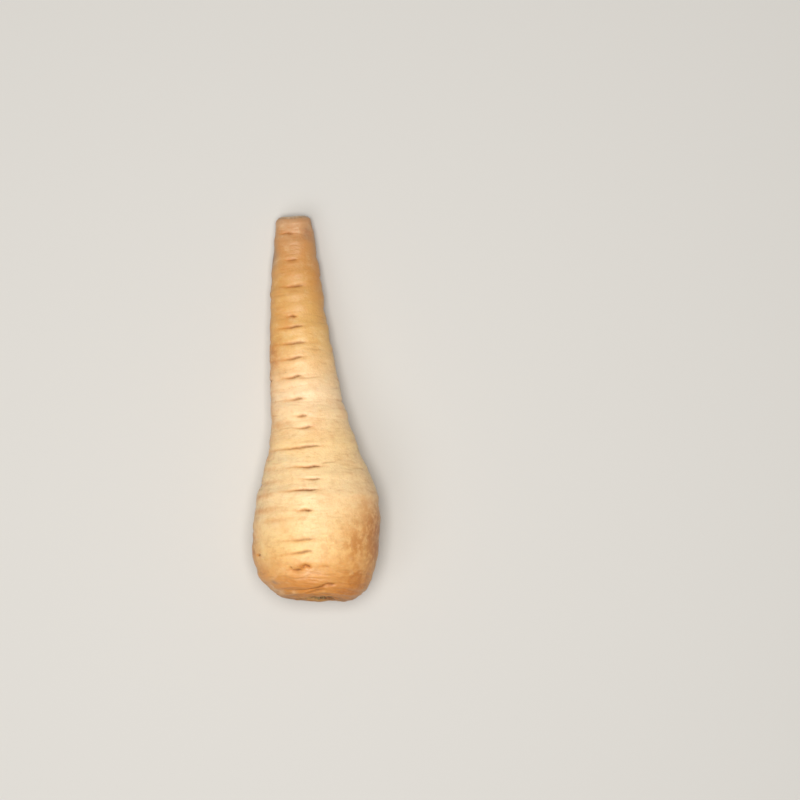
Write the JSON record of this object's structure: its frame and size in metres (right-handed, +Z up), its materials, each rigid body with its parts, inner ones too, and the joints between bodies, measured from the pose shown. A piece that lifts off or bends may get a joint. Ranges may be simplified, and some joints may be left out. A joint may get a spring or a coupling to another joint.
{
  "type": "parsnip",
  "caption": "Stout tapering root vegetable lying on its side, with a sunken crown of cut leaf stalks and a trimmed tip.",
  "frame": {"origin": "on the surface that the root lies on, under the middle of its bounding box", "axes": "+Y from the crown to the trimmed tip, +X to the right seen from above, +Z up"},
  "size_m": [0.0454, 0.1374, 0.0415],
  "materials": {
    "root_skin": "waxy matte"
  },
  "bodies": {
    "root": {"parsnip": "root_skin"}
  },
  "joints": []
}
